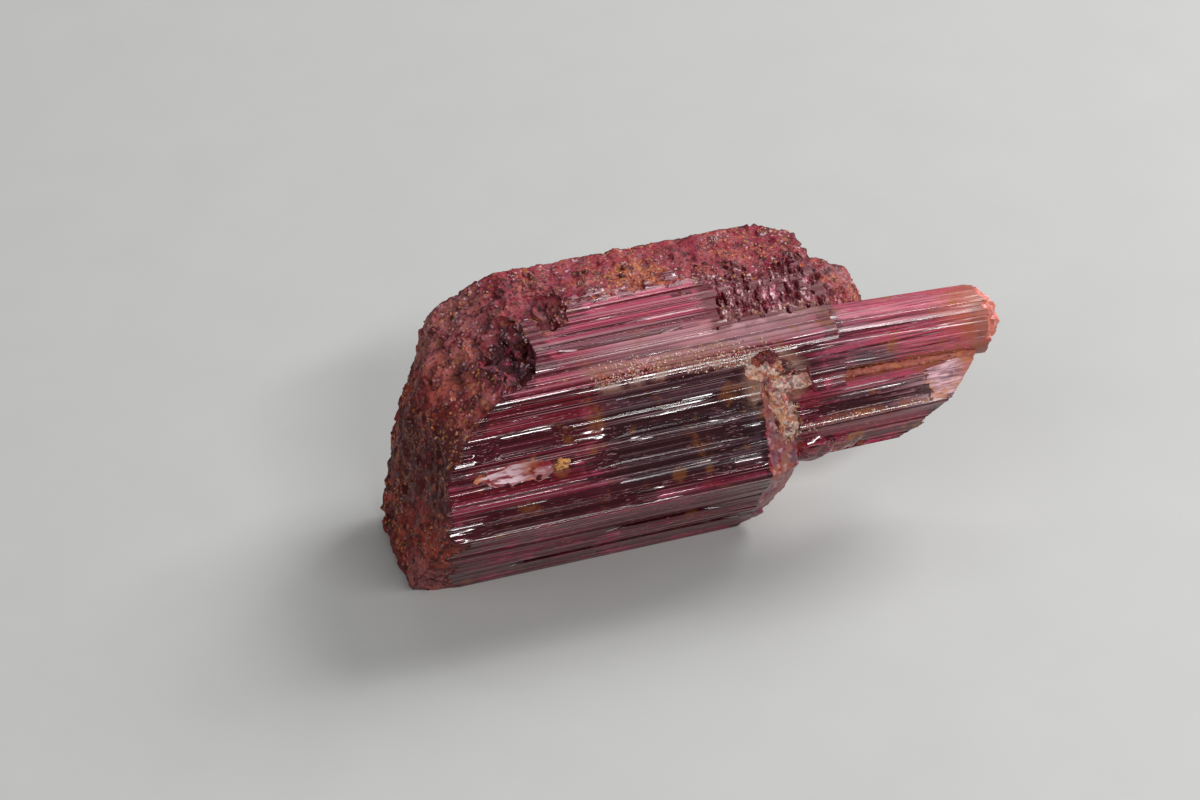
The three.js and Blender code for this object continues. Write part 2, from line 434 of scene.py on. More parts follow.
def etched_bite(given, position, spot):
    """Blocky pits with thin walls between them, in a ragged patch. Outside it the block stays clear."""
    tree = spot.tree
    _, back, along = position.parts()
    reach = (along / given["Patch Length"]).work("ABSOLUTE").work(
        "MAXIMUM", (back / given["Patch Breadth"]).work("ABSOLUTE"))
    ragged = reach * 2.0 + (spot.noise(given["Pit Breadth"], 3.0) - 0.5) * 0.9
    _, seed_back, seed_along = spot.parts()
    bend = (spot.noise(given["Pit Breadth"] * 0.5, 2.0) - 0.5) * 1.6
    cell_place = triple(0.0, seed_back / given["Pit Breadth"] + bend, seed_along / given["Pit Length"] + bend)
    cells = {"Vector": cell_place, "Scale": 1.0}
    nearest = put(tree, "ShaderNodeTexVoronoi", cells, distance="CHEBYCHEV")
    next_nearest = field(tree, "ShaderNodeTexVoronoi", cells, "Distance", distance="CHEBYCHEV", feature="F2")
    inside_wall = (next_nearest - Field(nearest.outputs["Distance"])).ramp(0.05, 0.25)
    share = field(tree, "FunctionNodeSeparateColor", {0: Field(nearest.outputs["Color"])})
    depth = inside_wall * (share * 0.8 + 0.1) * given["Pit Depth"]
    depth = depth + (spot.noise(given["Pit Length"] * 0.5, 4.0, 0.6) - 0.4) * given["Pit Depth"] * 0.6
    patch = 1.0 - ragged.ramp(0.8, 1.0)
    clear = (1.0 - patch) * given["Pit Depth"]
    return depth * patch - clear, 1.0 - depth / given["Pit Depth"]


def etched_block_tree():
    sizes = ("Patch Length", "Patch Breadth", "Pit Length", "Pit Breadth", "Pit Depth")
    return biting_block("etched_block", sizes, etched_bite)


def lump_tree():
    """An uneven ball, used as a grown nodule or to hollow the stone out"""
    tree, given, made = new_group(
        "lump", "GeometryNodeTree",
        [("Empty", "Geometry"), ("Radii", "Vector"), ("Detail", "Int"), ("Knob Size", "Float"),
         ("Knob Height", "Float"), ("Chip Size", "Float"), ("Chip Slope", "Float"), ("Seed", "Float"),
         ("Place", "Vector"), ("Turn", "Rotation"), ("Surface", "Material")],
        [("Lump", "Geometry")],
    )
    ball = field(tree, "GeometryNodeMeshIcoSphere", {"Radius": 1.0, "Subdivisions": given["Detail"]})
    stretched = field(tree, "GeometryNodeTransform", {"Geometry": ball, "Scale": given["Radii"]})
    spot = seeded(field(tree, "GeometryNodeInputPosition"), given["Seed"])
    knobs = (spot.noise(given["Knob Size"], 3.0) - 0.5) * given["Knob Height"]
    base, rise = capture(stretched, Rise=knobs + chips(spot, given["Chip Size"], given["Chip Slope"]))
    normal = field(tree, "GeometryNodeInputNormal")
    uneven = field(tree, "GeometryNodeSetPosition", {"Geometry": base, "Offset": normal.scaled(rise)})
    placed = field(tree, "GeometryNodeTransform", {
        "Geometry": uneven, "Translation": given["Place"], "Rotation": given["Turn"],
    })
    finish_tree(tree, placed, rise / given["Knob Height"] + 0.5, given["Surface"], made["Lump"])
    return tree


def grain_tree():
    """Small angular grains scattered in patches over one kind of surface, within reach of a line"""
    tree, given, made = new_group(
        "grains", "GeometryNodeTree",
        [("Stone", "Geometry"), ("Bed", "Material"), ("Density", "Float"), ("Smallest", "Float"),
         ("Largest", "Float"), ("Patch Size", "Float"), ("Line Start", "Vector"), ("Line Run", "Vector"),
         ("Reach", "Float"), ("Seed", "Int"), ("Surface", "Material")],
        [("Grains", "Geometry")],
    )
    position = field(tree, "GeometryNodeInputPosition")
    from_start = position - given["Line Start"]
    run = given["Line Run"]
    share = from_start.work("DOT_PRODUCT", run) / run.work("DOT_PRODUCT", run)
    nearest = run.scaled(share.work("MAXIMUM", 0.0).work("MINIMUM", 1.0))
    within = 1.0 - from_start.work("DISTANCE", nearest).ramp(given["Reach"] * 0.3, given["Reach"])
    patches = position.noise(given["Patch Size"], 3.0).ramp(0.40, 0.62) * within
    above_floor = position.parts()[2].ramp(0.5 * MM, 0.8 * MM)
    points = field(tree, "GeometryNodeDistributePointsOnFaces", {
        "Mesh": given["Stone"],
        "Selection": field(tree, "GeometryNodeMaterialSelection", {"Material": given["Bed"]}),
        "Density": given["Density"] * patches * above_floor, "Seed": given["Seed"],
    })
    ball = field(tree, "GeometryNodeMeshIcoSphere", {"Radius": 1.0, "Subdivisions": 1})
    knobs = (position.noise(0.7, 2.0) - 0.5) * 1.6
    grain = field(tree, "GeometryNodeSetPosition", {
        "Geometry": ball, "Offset": field(tree, "GeometryNodeInputNormal").scaled(knobs),
    })
    turn = field(tree, "FunctionNodeRandomValue", {
        "Min": (0.0, 0.0, 0.0), "Max": (math.tau, math.tau, math.tau), "Seed": given["Seed"],
    }, "Value", data_type="FLOAT_VECTOR")
    size = field(tree, "FunctionNodeRandomValue", {
        "Min_001": given["Smallest"], "Max_001": given["Largest"], "Seed": given["Seed"] + 1,
    }, "Value_001", data_type="FLOAT")
    squash = field(tree, "FunctionNodeRandomValue", {
        "Min": (0.6, 0.6, 0.5), "Max": (1.2, 1.0, 0.9), "Seed": given["Seed"] + 2,
    }, "Value", data_type="FLOAT_VECTOR")
    scattered = field(tree, "GeometryNodeInstanceOnPoints", {
        "Points": points, "Instance": grain, "Rotation": turn, "Scale": squash.scaled(size),
    })
    tint = field(tree, "FunctionNodeRandomValue", {"Seed": given["Seed"] + 3}, "Value_001", data_type="FLOAT")
    tinted = field(tree, "GeometryNodeStoreNamedAttribute", {
        "Geometry": scattered, "Name": "tint", "Value": tint,
    }, data_type="FLOAT", domain="INSTANCE")
    real = field(tree, "GeometryNodeRealizeInstances", {"Geometry": tinted})
    surfaced = field(tree, "GeometryNodeSetMaterial", {"Geometry": real, "Material": given["Surface"]})
    feed(made["Grains"], surfaced)
    return tree


# The pieces of the shape
def prism(name, corners, run, tree, columns, rows, seed, surface):
    points = [(back, height, 0) for back, height in corners]
    edges = [(i, (i + 1) % len(points)) for i in range(len(points))]
    ridges = {
        f"{layer}_{size}": value * MM
        for layer, sizes in RIDGES.items()
        for size, value in zip(("width", "depth", "run"), sizes)
    }
    return shape(
        mesh_object(name, points, edges), tree, start=run[0] * MM, end=run[1] * MM,
        columns=columns, rows=rows, seed=seed, surface=surface, **ridges,
    )


def broken_block(name, tree, place, inside, seed, surface,
                 size=24.0, cells=115, lift=0.0, slope=0.45, **rough):
    sizes = {"lump_size": 3.0, "lump_depth": 1.5, "chip_size": 1.3, "grit_depth": 0.25}
    sizes.update(rough)
    return shape(
        mesh_object(name), tree, size=size * MM, cells=cells, lift=lift * MM, seed=seed, surface=surface,
        chip_slope=slope, place=[c * MM for c in place], turn=list(facing(inside)),
        **{key: value * MM for key, value in sizes.items()},
    )


def lump(name, tree, place, radii, seed, surface,
         inside=(1, 0, 0), detail=5, knob=(1.4, 0.6), chip=(0.7, 0.4)):
    return shape(
        mesh_object(name), tree, radii=[r * MM for r in radii], detail=detail, seed=seed, surface=surface,
        knob_size=knob[0] * MM, knob_height=knob[1] * MM, chip_size=chip[0] * MM, chip_slope=chip[1],
        place=[c * MM for c in place], turn=list(facing(inside)),
    )


def band_cutter(number, band, surface):
    """A slab along a face of the body, with a floor that leans so that it catches the light its own way"""
    (low_corner, high_corner), start, end, low, high, depth, lean = band
    foot = Vector((0, *low_corner))
    up = Vector((0, high_corner[0] - low_corner[0], high_corner[1] - low_corner[1])).normalized()
    inward = Vector((0, up.z, -up.y))
    slip = (high - low) * math.tan(math.radians(lean)) / 2
    sections = []
    for station, share in ((start, 0), (start + BAND_TAPER, 1), (end - BAND_TAPER, 1), (end, 0)):
        along = Vector((station, 0, 0))
        sections.append([
            foot + along + up * low - inward, foot + along + up * high - inward,
            foot + along + up * high + inward * (depth + slip) * share,
            foot + along + up * low + inward * (depth - slip) * share,
        ])
    points = [point for section in sections for point in section]
    last = len(points) - 4
    faces = [(3, 2, 1, 0), (last, last + 1, last + 2, last + 3)]
    for first in range(0, last, 4):
        faces += [(first + i, first + (i + 1) % 4, first + (i + 1) % 4 + 4, first + i + 4) for i in range(4)]
    cutter = mesh_object(f"band_{number}", points, (), faces)
    solid = bmesh.new()
    solid.from_mesh(cutter.data)
    bmesh.ops.recalc_face_normals(solid, faces=solid.faces)
    solid.to_mesh(cutter.data)
    solid.free()
    cutter.data.materials.append(surface)
    return cutter


def work(target, operation, tools):
    for tool in tools:
        modifier = target.modifiers.new(tool.name, "BOOLEAN")
        modifier.operation = operation
        modifier.solver = "MANIFOLD"
        modifier.material_mode = "TRANSFER"
        modifier.object = tool
    plain(target)
    for tool in tools:
        bpy.data.objects.remove(tool)
    return target


def upper_twin_corners():
    angles = [-side / UPPER_TWIN_SIDES * math.tau for side in range(UPPER_TWIN_SIDES)]
    back, height = UPPER_TWIN_MIDDLE
    return [
        (back + UPPER_TWIN_RADIUS * math.cos(angle), height + UPPER_TWIN_RADIUS * math.sin(angle))
        for angle in angles
    ]


def make_body(prisms, blocks, lumps, clear, broken, frosted):
    body = prism("body", BODY_CORNERS, BODY_RUN, prisms, 1900, 20, 1.0, clear)
    work(body, "DIFFERENCE", [band_cutter(number, band, clear) for number, band in enumerate(BANDS)])
    etched = shape(
        mesh_object("etched"), etched_block_tree(), size=13 * MM, cells=150, seed=8.0, surface=clear,
        place=[26.0 * MM, 5.2 * MM, 16.35 * MM], turn=list(facing((0, 0.176, -0.984))),
        patch_length=8.6 * MM, patch_breadth=6.6 * MM, pit_length=0.4 * MM, pit_breadth=1.1 * MM,
        pit_depth=0.5 * MM,
    )
    skin = {"lump_size": 1.8, "lump_depth": 0.7, "chip_size": 0.6, "slope": 0.4}
    worn = {"lump_depth": 0.5, "chip_size": 0.5, "slope": 0.25, "grit_depth": 0.1}
    return work(body, "DIFFERENCE", [
        etched,
        broken_block("left_end", blocks, (1.3, 6, 6), (1, -0.04, -0.21), 3.0, broken),
        broken_block("left_front", blocks, (1.0, -2.0, 3.0), (0.83, 0.5, 0.1), 4.0, broken, size=18, cells=90,
                     lump_depth=1.2),
        broken_block("left_shoulder", blocks, (4.6, 6, 13.6), (1, 0, -1.2), 5.0, broken),
        broken_block("left_bevel", blocks, (8.0, 8, 16.2), (1, -0.24, -2.35), 6.0, broken),
        broken_block("top_skin", blocks, (9.3, 4, 16.2), (0.057, 0.073, -1), 10.0, broken, size=30, cells=160,
                     **skin),
        broken_block("front_skin", blocks, (2.4, -2.6, 9.9), (0.22, 0.874, -0.487), 12.0, broken, **skin),
        broken_block("foot_skin", blocks, (3.0, -2.05, 3.6), (0.22, 0.869, 0.495), 14.0, broken, **skin),
        broken_block("left_back", blocks, (4.5, 13.4, 10), (1, -0.4, -0.3), 7.0, broken),
        broken_block("top", blocks, (14, 8, 16.63), (-0.018, -0.009, -1), 9.0, broken, size=36, cells=170,
                     lump_depth=0.9, chip_size=1.0),
        broken_block("right_end", blocks, (30.0, 6, 15), (-1, 0.05, -0.06), 11.0, frosted, lump_depth=0.8),
        broken_block("back_corner", blocks, (29.3, 10.2, 15), (-0.6, -0.8, 0), 21.0, broken, lump_depth=0.8),
        broken_block("worn_front", blocks, (23.5, -3.1, 9.0), (-0.342, 0.821, -0.458), 23.0, frosted, size=9,
                     cells=60, **worn),
        broken_block("worn_foot", blocks, (23.4, -3.0, 5.3), (-0.342, 0.817, 0.465), 24.0, frosted, size=9,
                     cells=60, **worn),
        broken_block("step_end", blocks, (25.9, 5, 11.6), (-1, 0, 0), 13.0, frosted, lift=-12.0,
                     lump_depth=0.6),
        broken_block("foot_bevel", blocks, (22.8, 5, 0), (-1, 0, 1.46), 15.0, frosted, lift=-3.0,
                     lump_depth=0.6),
        broken_block("end_bevel", blocks, (24.7, 5, 1.25), (-1, 0, 0.33), 16.0, frosted, lift=-4.0,
                     lump_depth=0.6),
        *(lump(f"hollow_{number}", lumps, place, radii, 17.0 + number, broken, knob=(1.5, 1.4),
               chip=(1.2, 0.9))
          for number, (place, radii) in enumerate(HOLLOWS)),
        lump("chip", lumps, (6.7, -2.35, 10.9), (3.4, 0.7, 0.9), 19.0, frosted, knob=(1.0, 0.5),
             chip=(1.2, 0.35)),
    ])


def make_upper_twin(prisms, lumps, clear, frosted):
    twin = prism("upper", upper_twin_corners(), UPPER_TWIN_RUN, prisms, 560, 16, 2.0, clear)
    work(twin, "INTERSECT", [
        lump("round_tip", lumps, (30.8, *UPPER_TWIN_MIDDLE), (10.8, 4.6, 4.6), 22.0, frosted, detail=6,
             knob=(1.3, 1.0), chip=(0.9, 0.7)),
    ])
    place = Matrix.Translation(Vector(LEAN_PLACE) * MM)
    down = Matrix.Rotation(math.radians(LEAN_DOWN), 4, "Y")
    front = Matrix.Rotation(math.radians(-LEAN_FRONT), 4, "Z")
    twin.data.transform(place @ front @ down @ place.inverted())
    return twin


def make_lower_twin(prisms, blocks, clear, frosted):
    twin = prism("lower", LOWER_TWIN_CORNERS, LOWER_TWIN_RUN, prisms, 520, 16, 3.0, clear)
    cutters = [band_cutter(number, band, clear) for number, band in enumerate(LOWER_TWIN_BANDS)]
    return work(twin, "DIFFERENCE", [
        *cutters,
        broken_block("lower_end", blocks, (39.6, 0, 11.7), (-1, 0.15, 0.95), 29.0, frosted, size=12, cells=70,
                     lump_depth=0.4, chip_size=0.7, slope=0.3, grit_depth=0.12),
        broken_block("lower_foot", blocks, (36.0, 0, 7.3), (-0.5, 0, 0.87), 28.0, frosted, size=12, cells=70,
                     lump_depth=0.4, chip_size=0.7, slope=0.3, grit_depth=0.12),
        broken_block("pale_end", blocks, (34.4, -1.95, 10.58), (-0.105, 0.866, -0.488), 30.0, frosted,
                     size=10, cells=60, lump_depth=0.15, chip_size=0.4, slope=0.12, grit_depth=0.04),
    ])


def seam_lumps(lumps, matrix):
    start, end = (Vector(place) for place in SEAM_ENDS)
    places = [start.lerp(end, number / (SEAM_LUMPS - 1)) for number in range(SEAM_LUMPS)]
    return [
        lump(f"seam_{number}", lumps, place, SEAM_RADII, 50.0 + number, matrix, inside=end - start, detail=4,
             knob=(0.5, 0.3), chip=(0.3, 0.5))
        for number, place in enumerate(places)
    ]


def make_crystal(clear, broken, frosted, matrix):
    prisms = striated_prism_tree(ridge_layer_tree())
    blocks = broken_block_tree()
    lumps = lump_tree()
    joined = work(make_body(prisms, blocks, lumps, clear, broken, frosted), "UNION", [
        make_upper_twin(prisms, lumps, clear, frosted),
        make_lower_twin(prisms, blocks, clear, frosted),
        lump("ledge", lumps, (30.2, 6.0, 12.2), (3.3, 4.4, 3.1), 31.0, broken, knob=(1.6, 1.6)),
        *(lump(f"nodule_{number}", lumps, place, radii, 32.0 + number, clear, detail=4, chip=(0.7, 0.15))
          for number, (place, radii) in enumerate(NODULES)),
    ])
    crumbly = {"detail": 5, "knob": (0.6, 0.7), "chip": (0.35, 0.9)}
    work(joined, "DIFFERENCE", [
        *(lump(f"matrix_hollow_{number}", lumps, place, radii, 41.0 + number, matrix, **crumbly)
          for number, (place, radii) in enumerate(MATRIX_HOLLOWS)),
        lump("rusty_hole", lumps, *RUSTY_HOLE, 20.0, broken, detail=4),
    ])
    return work(joined, "UNION", [
        lump("nugget", lumps, *NUGGET, 45.0, matrix, **crumbly),
        *(lump(f"matrix_{number}", lumps, place, radii, 35.0 + number, matrix, **crumbly)
          for number, (place, radii) in enumerate(MATRIX_LUMPS)),
        *seam_lumps(lumps, matrix),
    ])


# Surfaces
def blend(factor, below, above):
    inputs = {"Factor_Float": factor, "A_Color": below, "B_Color": above}
    return field(factor.tree, "ShaderNodeMix", inputs, "Result_Color", data_type="RGBA")


def paint(red, green, blue):
    return (red, green, blue, 1.0)


RASPBERRY = paint(0.55, 0.05, 0.12)
DEEP_RED = paint(0.24, 0.004, 0.02)
MAGENTA = paint(0.75, 0.010, 0.13)
PINK = paint(0.95, 0.15, 0.27)
BLUSH = paint(0.98, 0.46, 0.52)
PALE_PINK = paint(0.97, 0.60, 0.66)
SMOKE = paint(0.10, 0.07, 0.10)
VIOLET = paint(0.14, 0.075, 0.105)
OCHRE = paint(0.58, 0.20, 0.04)
RUST_PINK = paint(0.50, 0.13, 0.09)
RUST_RED = paint(0.42, 0.065, 0.03)
MAUVE = paint(0.30, 0.085, 0.085)
SAND = paint(0.55, 0.27, 0.18)
GOLD = paint(0.62, 0.30, 0.08)
PEACH = paint(0.72, 0.18, 0.12)
DUSTY_PINK = paint(0.40, 0.12, 0.125)
DUSTY_MAUVE = paint(0.30, 0.13, 0.155)
SKIN = paint(0.27, 0.020, 0.018)
WINE = paint(0.27, 0.014, 0.04)
ROSE = paint(0.42, 0.09, 0.085)
BARK = paint(0.035, 0.004, 0.006)
CHALK = paint(0.72, 0.52, 0.43)
PEARL = paint(0.85, 0.62, 0.68)
PALE_GREY = paint(0.43, 0.43, 0.42)
PALER_GREY = paint(0.46, 0.46, 0.45)

# Patches of the crust painted another colour, as a place, a radius, a weight and the colour
CRUST_PATCHES = [
    ((0.8, -1.5, 5.6), 3.2, 0.6, RUST_RED),
    ((1.8, 0.0, 10.5), 4.5, 0.8, BARK),
    ((1.6, 6.0, 7.0), 4.0, 0.8, BARK),
    ((1.0, -0.5, 1.2), 3.0, 0.8, DUSTY_PINK),
    ((5.6, 9.9, 14.5), 4.5, 0.9, DUSTY_PINK),
    ((4.9, 5.9, 13.8), 2.8, 0.6, RUST_PINK),
    ((18.5, 8.0, 16.6), 2.4, 0.8, OCHRE),
]


# The clear stone: how much light goes in, how it bends and what the depth takes out
CLEARNESS = 0.55
TOURMALINE_IOR = 1.63
DEPTH_COLOR = paint(0.88, 0.05, 0.18)
DEPTH_DENSITY = 420.0


def stain_group():
    """Patches of rusty stain, larger as the amount goes from 0 to 1"""
    tree, given, made = new_group(
        "rusty_stain", "ShaderNodeTree",
        [("Place", "Vector"), ("Size", "Float"), ("Amount", "Float")], [("Mask", "Float")],
    )
    patches = given["Place"].noise(given["Size"], 4.0, 0.6)
    specks = given["Place"].noise(given["Size"] * 0.2, 2.0)
    level = patches * 0.7 + specks * 0.3 + given["Amount"] * 0.5
    feed(made["Mask"], level.ramp(0.70, 0.82))
    return tree


def rust(place, size, amount, stain):
    inputs = {"Place": place, "Size": size, "Amount": amount}
    return field(place.tree, "ShaderNodeGroup", inputs, node_tree=stain)


def flake_group():
    """Small angular flakes, each with three chance values from 0 to 1"""
    tree, given, made = new_group(
        "flakes", "ShaderNodeTree", [("Place", "Vector"), ("Size", "Float")],
        [("First", "Float"), ("Second", "Float"), ("Third", "Float")],
    )
    scale = given["Size"].work("POWER", -1.0)
    wander = field(tree, "ShaderNodeTexNoise", {
        "Vector": given["Place"], "Scale": scale * 1.5, "Detail": 2.0,
    }, "Color")
    shift = field(tree, "ShaderNodeVectorMath", {0: wander, 1: (0.5, 0.5, 0.5)}, operation="SUBTRACT")
    warped = given["Place"] + shift.scaled(given["Size"] * 0.9)
    cells = field(tree, "ShaderNodeTexVoronoi", {"Vector": warped, "Scale": scale}, "Color")
    chances = put(tree, "ShaderNodeSeparateColor", {0: cells})
    for socket, chance in zip(made, chances.outputs):
        feed(socket, Field(chance))
    return tree


def flake_values(place, size, flakes):
    node = put(place.tree, "ShaderNodeGroup", {"Place": place, "Size": size}, node_tree=flakes)
    return [Field(output) for output in node.outputs]


def new_surface(name):
    material = bpy.data.materials.new(name)
    material.use_nodes = True
    tree = material.node_tree
    place = field(tree, "ShaderNodeMapping", {
        "Vector": field(tree, "ShaderNodeTexCoord", output="Object"),
        "Location": -FOOT / MM, "Scale": (1 / MM, 1 / MM, 1 / MM),
    })
    return material, tree, tree.nodes["Principled BSDF"], place


def kept_value(tree, name):
    return field(tree, "ShaderNodeAttribute", output="Fac", attribute_name=name)


def bumped(height, distance, strength):
    inputs = {"Height": height, "Distance": distance, "Strength": strength}
    return field(height.tree, "ShaderNodeBump", inputs)


def near(place, middle, radius):
    return 1.0 - place.work("DISTANCE", middle).ramp(radius * 0.6, radius)


def tourmaline_surface(stain):
    material, tree, shader, place = new_surface("tourmaline")
    relief = kept_value(tree, "relief")
    drift = (place.noise(3.0, 3.0) - 0.5) * 2.5
    along, back, height = place.parts()
    along = along + drift
    streaks = (place * (0.03, 3.0, 3.0)).noise(1.0, 3.0)
    threads = (place * (0.02, 9.0, 9.0)).noise(1.0, 2.0)
    painted_glint_hairs = (place * (0.05, 14.0, 14.0)).noise(1.0, 1.0)
    painted_glint_dashes = (place * (2.2, 12.0, 12.0)).noise(1.0, 1.0)
    lines = (place * (0.03, 6.0, 6.0)).noise(1.0, 1.0)
    veils = place.noise(1.6, 4.0, 0.6)
    clouds = place.noise(4.0, 3.0)

    front = 1.0 - back.ramp(0.2, 1.4)
    smoky = along.between(13, 25, 1.6) * height.between(8.2, 14.6, 0.7) * front
    deep = (1.0 - height.ramp(5.5, 9.0)) * front
    top = back.ramp(0.0, 1.2) * height.ramp(14.0, 15.5)
    etched = top * along.between(21.5, 30.5, 0.8) * back.between(1.6, 8.2, 0.6)
    # A pale band along the upper front edge is a painted sheen: the highlight where the chamfered edge
    # mirrors the front light
    painted_sheen_band = back.between(0.5, 2.9, 0.3) * height.ramp(14.9, 15.3) * along.ramp(11, 16)
    sandy = height.between(14.1, 15.5, 0.3) * along.between(12.5, 25.0, 1.0) * (1.0 - back.ramp(0.9, 1.6))
    sandy = sandy * veils.ramp(0.42, 0.58)
    notch = near(place, (25.0, -0.8, 12.6), 2.8) * veils.ramp(0.38, 0.52)
    twins = along.ramp(27.0, 29.5)
    upper_twin = twins * height.ramp(10.8, 11.4)
    lower_twin = twins * (1.0 - height.ramp(10.8, 11.4))
    lower_end = lower_twin * along.ramp(32.5, 36.5) * height.ramp(8.6, 9.6)
    violet_patch = along.between(30.5, 33.5, 0.8) * height.between(11.6, 13.6, 0.4) * front
    tip = along.ramp(36.0, 39.5)
    crack = along.between(11.3, 12.3, 0.3) * height.between(8.0, 13.5, 0.8) * front
    crease = twins * height.between(11.5, 12.3, 0.15) * back.between(-1.0, 0.6, 0.2)
    seam = crease + lower_twin * height.between(9.4, 9.9, 0.12)

    color = blend(streaks.ramp(0.35, 0.65), DEEP_RED, RASPBERRY)
    color = blend(top * streaks.ramp(0.28, 0.55), color, PINK)
    color = blend(smoky * (streaks * 0.4 + 0.65), color, SMOKE)
    # The upper front edge is painted pale: painted sheen
    color = blend(painted_sheen_band, color, BLUSH)
    color = blend(upper_twin * streaks.ramp(0.15, 0.5), color, PINK)
    color = blend(violet_patch * 0.9, color, VIOLET)
    color = blend(lower_twin * height.ramp(9.2, 9.7) * 0.95, color, VIOLET)
    # The end of the lower twin turns pale pink: partly its own pale colour, partly a painted highlight on its
    # glassy end
    color = blend(lower_end, color, PALE_PINK)
    # The lower front turns deep red, with patches of painted glow in magenta where light would shine out
    # through the stone
    painted_glow = veils.ramp(0.42, 0.6) * clouds.ramp(0.36, 0.52)
    color = blend(deep * 0.9, color, blend(painted_glow, DEEP_RED, MAGENTA))
    color = blend(crack * veils.ramp(0.35, 0.65) * 0.6, color, PINK)
    # Fine dark lines along the prisms are painted shade in the grooves between ridges, weaker on the top, the
    # sheen band and the tip
    lined = (0.8 - top * 0.25 - painted_sheen_band * 0.4) * (1.0 - tip * 0.8)
    color = blend((1.0 - threads.ramp(0.40, 0.52)) * lined, color, BARK)
    # Low parts of the relief turn dark: painted shade in the grooves and hollows
    color = blend((1.0 - relief.ramp(0.30, 0.5)) * 0.7, color, BARK)
    # Thin pale lines and dashes along the prisms, and on the top, are painted glints: highlights that fine
    # striations would catch
    color = blend(painted_glint_hairs.ramp(0.62, 0.70) * 0.6, color, PALE_PINK)
    color = blend(painted_glint_dashes.ramp(0.60, 0.68) * threads.ramp(0.45, 0.6) * 0.45, color, PALE_PINK)
    color = blend(top * lines.ramp(0.56, 0.62) * 0.5, color, PALE_PINK)
    color = blend(sandy * 0.8, color, SAND)
    color = blend(notch * 0.8, color, SAND)
    color = blend(etched * veils.ramp(0.4, 0.6) * 0.7, color, MAUVE)
    color = blend(etched * relief.ramp(0.75, 0.95) * veils.ramp(0.35, 0.55), color, OCHRE)
    # The pits of the etched patch turn deep red: painted shade in the pits
    color = blend(etched * (1.0 - relief.ramp(0.2, 0.7)) * 0.8, color, DEEP_RED)
    color = blend(tip * veils.ramp(0.25, 0.5), color, PEACH)
    rusty = rust(place, 2.2, 0.3, stain)
    for middle, radius in RUSTY_SPOTS:
        rusty = rusty.work("MAXIMUM", near(place, middle, radius) * veils.ramp(0.4, 0.5))
    rusty = rusty.work("MAXIMUM", seam * veils.ramp(0.35, 0.55) * 0.8)
    color = blend(rusty * (twins * 0.4 + 0.5), color, OCHRE)

    shader.inputs["Transmission Weight"].default_value = CLEARNESS
    shader.inputs["IOR"].default_value = TOURMALINE_IOR
    feed(shader.inputs["Base Color"], color)
    worn = (sandy + notch) * 0.2 + etched * 0.25 + upper_twin * 0.12 + along.ramp(38.5, 40.0) * 0.2
    feed(shader.inputs["Roughness"], threads.ramp(0.3, 0.8) * 0.12 + 0.06 + worn)
    feed(shader.inputs["Normal"], bumped(threads, 0.02 * MM, 0.2))
    depth = {"Color": DEPTH_COLOR, "Density": DEPTH_DENSITY}
    absorption = field(tree, "ShaderNodeVolumeAbsorption", depth)
    feed(tree.nodes["Material Output"].inputs["Volume"], absorption)
    return material


def frosted_surface(stain, flakes):
    """Freshly chipped faces and the dissolved tips, pale and clouded"""
    material, tree, shader, place = new_surface("frosted_tourmaline")
    relief = kept_value(tree, "relief")
    along, _, height = place.parts()
    streaks = (place * (0.25, 2.5, 2.5)).noise(1.0, 3.0)
    specks = place.noise(0.3, 4.0, 0.6)
    veils = place.noise(1.2, 4.0, 0.6)
    lines = (place * (0.2, 5.0, 5.0)).noise(1.0, 3.0)
    threads = (place * (0.02, 9.0, 9.0)).noise(1.0, 2.0)
    tint, _, painted_sparkle = flake_values(place, 0.25, flakes)
    chip = 1.0 - along.ramp(14.0, 15.0)
    tips = along.ramp(30.0, 33.0)
    lower_end = tips * (1.0 - height.ramp(11.3, 11.8))
    color = blend(veils.ramp(0.35, 0.65), DEEP_RED, VIOLET)
    color = blend(tint.ramp(0.3, 0.9) * 0.55, color, DUSTY_MAUVE)
    color = blend(tips, color, blend(veils.ramp(0.35, 0.6), RUST_PINK, PEACH))
    color = blend(tips * tint.ramp(0.4, 0.9) * 0.6, color, ROSE)
    # The broken end of the lower twin fades to pale pink in streaks: partly its own pale colour, partly a
    # painted highlight
    pale = along.ramp(33.6, 36.4) * lines.ramp(0.32, 0.6)
    color = blend(lower_end, color, blend(pale, VIOLET, PALE_PINK))
    color = blend(lower_end * (1.0 - threads.ramp(0.40, 0.54)) * 0.6, color, MAUVE)
    color = blend(lower_end * along.ramp(37.4, 38.6) * 0.8, color, RUST_PINK)
    # Rare pale flecks on the broken faces are painted sparkles: glints of light off tiny facets
    color = blend((1.0 - chip) * painted_sparkle.ramp(0.86, 0.97) * 0.3, color, PALE_PINK)
    # Pale streaks on the chip near its left end are a painted flash of light off the fresh break
    painted_flash = streaks.ramp(0.45, 0.6) * (1.0 - along.ramp(5.0, 10.0))
    color = blend(chip, color, blend(streaks.ramp(0.35, 0.65), DEEP_RED, MAUVE))
    color = blend(chip * painted_flash, color, PEARL)
    color = blend(chip * (1.0 - along.ramp(3.9, 4.6)) * 0.8, color, OCHRE)
    rusty = rust(place, 1.5, 0.45, stain)
    color = blend(rusty * (lower_end * 0.3 + 0.3), color, OCHRE)
    # Hollows of the broken faces turn deep red: painted shade, none on the end of the lower twin
    color = blend((1.0 - relief.ramp(0.1, 0.45)) * (0.5 - lower_end * 0.5), color, DEEP_RED)
    feed(shader.inputs["Base Color"], color)
    feed(shader.inputs["Roughness"], specks.ramp(0.3, 0.7) * 0.3 + 0.25)
    feed(shader.inputs["Normal"], bumped(specks, 0.05 * MM, 0.5))
    return material


